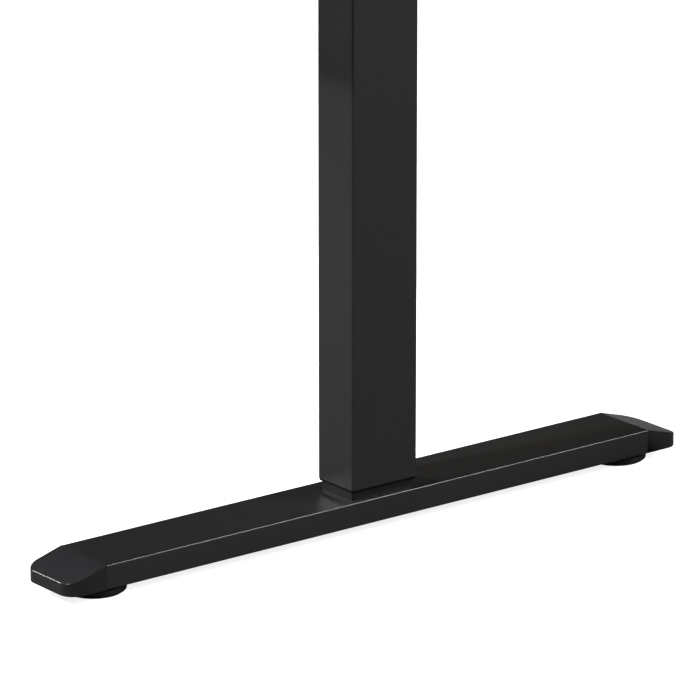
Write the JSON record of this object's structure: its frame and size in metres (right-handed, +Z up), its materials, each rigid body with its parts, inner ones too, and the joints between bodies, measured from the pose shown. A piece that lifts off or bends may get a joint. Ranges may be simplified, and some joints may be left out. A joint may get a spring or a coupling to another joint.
{
  "type": "height adjustable desk",
  "caption": "Electric height adjustable standing desk: black lifting columns on low rectangular feet with sloping end caps and levelling glides, board on a steel frame.",
  "frame": {"origin": "on the floor, midway between the two legs", "axes": "+X along the desktop to the right as seen from the front, +Y towards the back, +Z up"},
  "size_m": [1.6, 0.763, 0.725],
  "materials": {
    "powder_coat": "fine satin powder coat",
    "cap_plastic": "moulded, fine texture",
    "glide_plastic": "moulded, satin",
    "guide_plastic": "moulded",
    "slider_plastic": "natural acetal",
    "zinc_steel": "zinc plated",
    "black_steel": "black oxide",
    "ground_steel": "oiled",
    "wheel_brass": "machined",
    "cast_alloy": "painted casting",
    "laminate": "black woodgrain laminate on particle board",
    "edge_plastic": "fine texture",
    "rubber": "matte",
    "box_plastic": "spark eroded texture",
    "gloss_panel": "glossy",
    "window_plastic": "smoked, glossy",
    "circuit_board": "solder resist",
    "lead_sheath": "matte",
    "button_plastic": "satin"
  },
  "bodies": {
    "left_base": {"left_foot_beam": "powder_coat", "left_front_foot_cap": "cap_plastic", "left_back_foot_cap": "cap_plastic", "left_glide_nuts": "zinc_steel", "left_foot_bolts": "black_steel", "left_inner_tube": "powder_coat", "left_spindle_nut": "slider_plastic", "left_slider_cap": "slider_plastic"},
    "upper_frame": {"left_outer_tube": "powder_coat", "left_guide_collar": "guide_plastic", "left_thrust_bearing": "zinc_steel", "left_gearbox": "cast_alloy", "left_worm": "ground_steel", "left_motor": "powder_coat", "right_outer_tube": "powder_coat", "right_guide_collar": "guide_plastic", "right_thrust_bearing": "zinc_steel", "right_gearbox": "cast_alloy", "right_worm": "ground_steel", "right_motor": "powder_coat", "front_rail": "powder_coat", "back_rail": "powder_coat", "left_arm": "powder_coat", "right_arm": "powder_coat", "frame_bolts": "black_steel", "arm_pads": "rubber", "desktop": "laminate", "edge_band": "edge_plastic", "desktop_screws": "black_steel", "control_box": "box_plastic", "control_plate": "powder_coat", "control_board": "circuit_board", "mains_inlet": "box_plastic", "motor_leads": "lead_sheath", "handset_lead": "lead_sheath", "lead_clips": "box_plastic", "handset": "box_plastic", "handset_panel": "gloss_panel", "handset_board": "circuit_board", "handset_window": "window_plastic"},
    "right_base": {"right_foot_beam": "powder_coat", "right_front_foot_cap": "cap_plastic", "right_back_foot_cap": "cap_plastic", "right_glide_nuts": "zinc_steel", "right_foot_bolts": "black_steel", "right_inner_tube": "powder_coat", "right_spindle_nut": "slider_plastic", "right_slider_cap": "slider_plastic"},
    "left_screw": {"left_lead_screw": "ground_steel", "left_worm_wheel": "wheel_brass"},
    "right_screw": {"right_lead_screw": "ground_steel", "right_worm_wheel": "wheel_brass"},
    "left_front_glide_foot": {"left_front_glide": "glide_plastic"},
    "left_back_glide_foot": {"left_back_glide": "glide_plastic"},
    "right_front_glide_foot": {"right_front_glide": "glide_plastic"},
    "right_back_glide_foot": {"right_back_glide": "glide_plastic"},
    "up_key": {"button_up": "button_plastic"},
    "down_key": {"button_down": "button_plastic"},
    "one_key": {"button_one": "button_plastic"},
    "two_key": {"button_two": "button_plastic"}
  },
  "joints": [
    {"name": "lift", "type": "slide", "parent": "left_base", "child": "upper_frame", "axis": [0, 0, 1], "range_m": [0, 0.46]},
    {"name": "right_lift", "type": "slide", "parent": "upper_frame", "child": "right_base", "axis": [0, 0, -1], "range_m": [0, 0.46]},
    {"name": "left_screw_turn", "type": "hinge", "parent": "upper_frame", "child": "left_screw", "pos_m": [-0.636, 0, 0.68], "axis": [0, 0, 1], "range_deg": [0, 20700]},
    {"name": "right_screw_turn", "type": "hinge", "parent": "upper_frame", "child": "right_screw", "pos_m": [0.636, 0, 0.68], "axis": [0, 0, 1], "range_deg": [0, 20700]},
    {"name": "left_front_glide_height", "type": "slide", "parent": "left_base", "child": "left_front_glide_foot", "axis": [0, 0, -1], "range_m": [0, 0.01]},
    {"name": "left_back_glide_height", "type": "slide", "parent": "left_base", "child": "left_back_glide_foot", "axis": [0, 0, -1], "range_m": [0, 0.01]},
    {"name": "right_front_glide_height", "type": "slide", "parent": "right_base", "child": "right_front_glide_foot", "axis": [0, 0, -1], "range_m": [0, 0.01]},
    {"name": "right_back_glide_height", "type": "slide", "parent": "right_base", "child": "right_back_glide_foot", "axis": [0, 0, -1], "range_m": [0, 0.01]},
    {"name": "up_key_press", "type": "slide", "parent": "upper_frame", "child": "up_key", "axis": [0, 1, 0], "range_m": [0, 0.001], "stiffness_N_per_m": 600},
    {"name": "down_key_press", "type": "slide", "parent": "upper_frame", "child": "down_key", "axis": [0, 1, 0], "range_m": [0, 0.001], "stiffness_N_per_m": 600},
    {"name": "one_key_press", "type": "slide", "parent": "upper_frame", "child": "one_key", "axis": [0, 1, 0], "range_m": [0, 0.001], "stiffness_N_per_m": 600},
    {"name": "two_key_press", "type": "slide", "parent": "upper_frame", "child": "two_key", "axis": [0, 1, 0], "range_m": [0, 0.001], "stiffness_N_per_m": 600}
  ],
  "couplings": [
    {"joint": "right_lift", "follows": "lift", "ratio": 1},
    {"joint": "left_screw_turn", "follows": "lift", "rad_per_m": 785.4},
    {"joint": "right_screw_turn", "follows": "lift", "rad_per_m": 785.4}
  ]
}
